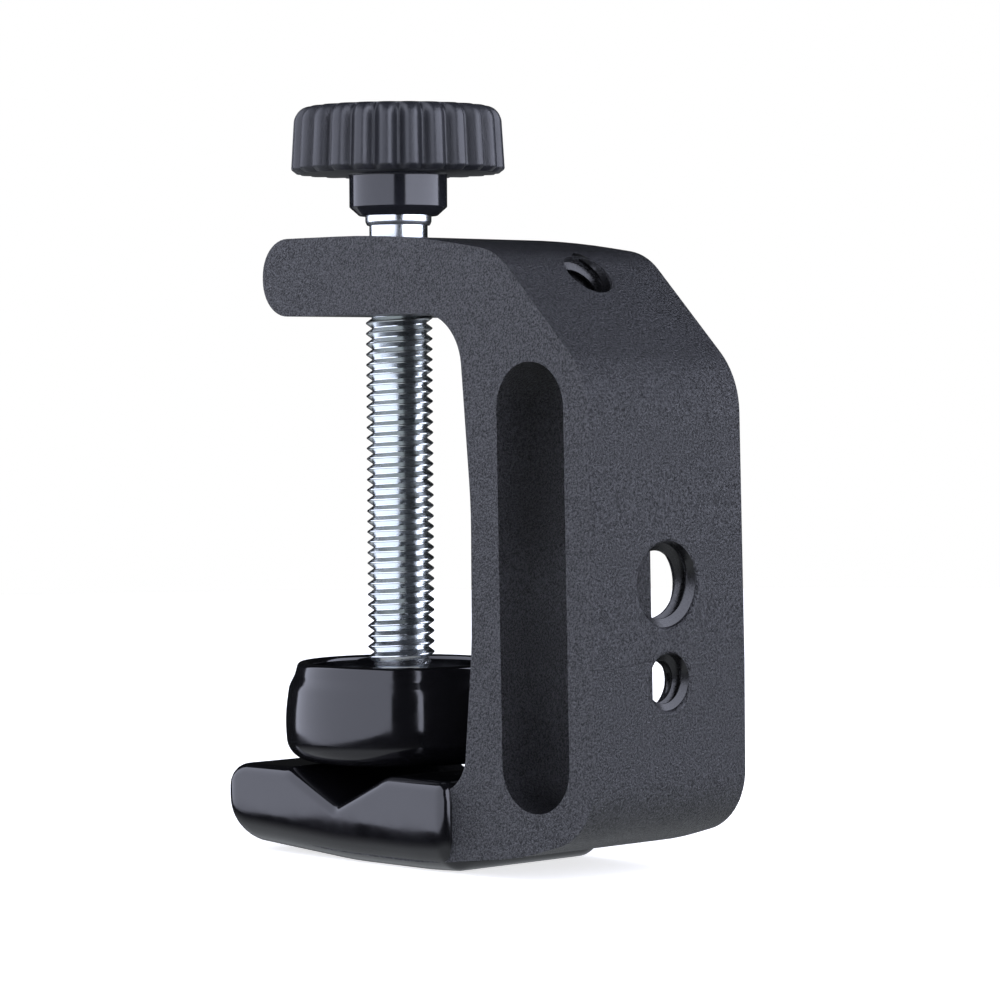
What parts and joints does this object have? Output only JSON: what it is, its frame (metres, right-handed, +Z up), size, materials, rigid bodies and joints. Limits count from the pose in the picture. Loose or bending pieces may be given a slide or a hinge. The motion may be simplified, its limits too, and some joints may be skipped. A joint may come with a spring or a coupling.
{
  "type": "super clamp",
  "caption": "Small cast C-clamp with a threaded spindle, ribbed knob, tilting swivel pad, boot-covered V jaw and threaded accessory holes.",
  "frame": {"origin": "centre of the bounding box's bottom, on the surface the clamp stands on", "axes": "+Z up along the spindle towards the knob, +X from the open mouth towards the spine's back face, Y across the casting"},
  "size_m": [0.0614, 0.0278, 0.0892],
  "materials": {
    "frame_casting": "black powder coat with a fine sand texture on a die casting",
    "boot_vinyl": "glossy black soft vinyl, dip moulded",
    "spindle_zinc": "bright blue-passivated zinc plate, rolled thread",
    "bush_zinc": "bright blue-passivated zinc plate, turned",
    "knob_plastic": "black moulded ABS, satin",
    "cap_plastic": "black moulded ABS, satin",
    "liner_nylon": "natural nylon, moulded",
    "ring_steel": "spring steel, oiled",
    "plate_steel": "zinc-plated turned steel, dull",
    "pad_vinyl": "glossy black soft vinyl, moulded"
  },
  "bodies": {
    "frame": {"clamp_frame": "frame_casting", "jaw_boot": "boot_vinyl"},
    "ball_carrier": {"ball_liner": "liner_nylon"},
    "spindle": {"spindle": "spindle_zinc", "knob_bush": "bush_zinc", "knob_grip": "knob_plastic", "knob_cap": "cap_plastic"},
    "pad_ring": {"retaining_ring": "ring_steel"},
    "pad": {"pad_plate": "plate_steel", "pad_boot": "pad_vinyl"}
  },
  "joints": [
    {"name": "spindle_feed", "type": "slide", "parent": "frame", "child": "ball_carrier", "axis": [0, 0, 1], "range_m": [0, 0.04]},
    {"name": "spindle_turn", "type": "hinge", "parent": "ball_carrier", "child": "spindle", "pos_m": [-0.0137, 0, 0.0172], "axis": [0, 0, 1], "range_deg": [0, 11521]},
    {"name": "pad_tilt", "type": "hinge", "parent": "ball_carrier", "child": "pad_ring", "pos_m": [-0.0137, 0, 0.0172], "axis": [0, 1, 0], "range_deg": [-2, 2]},
    {"name": "pad_swivel", "type": "hinge", "parent": "pad_ring", "child": "pad", "pos_m": [-0.0137, 0, 0.0172], "axis": [0, 0, 1], "continuous": true}
  ],
  "couplings": [
    {"joint": "spindle_turn", "follows": "spindle_feed", "rad_per_m": 5026.5}
  ]
}
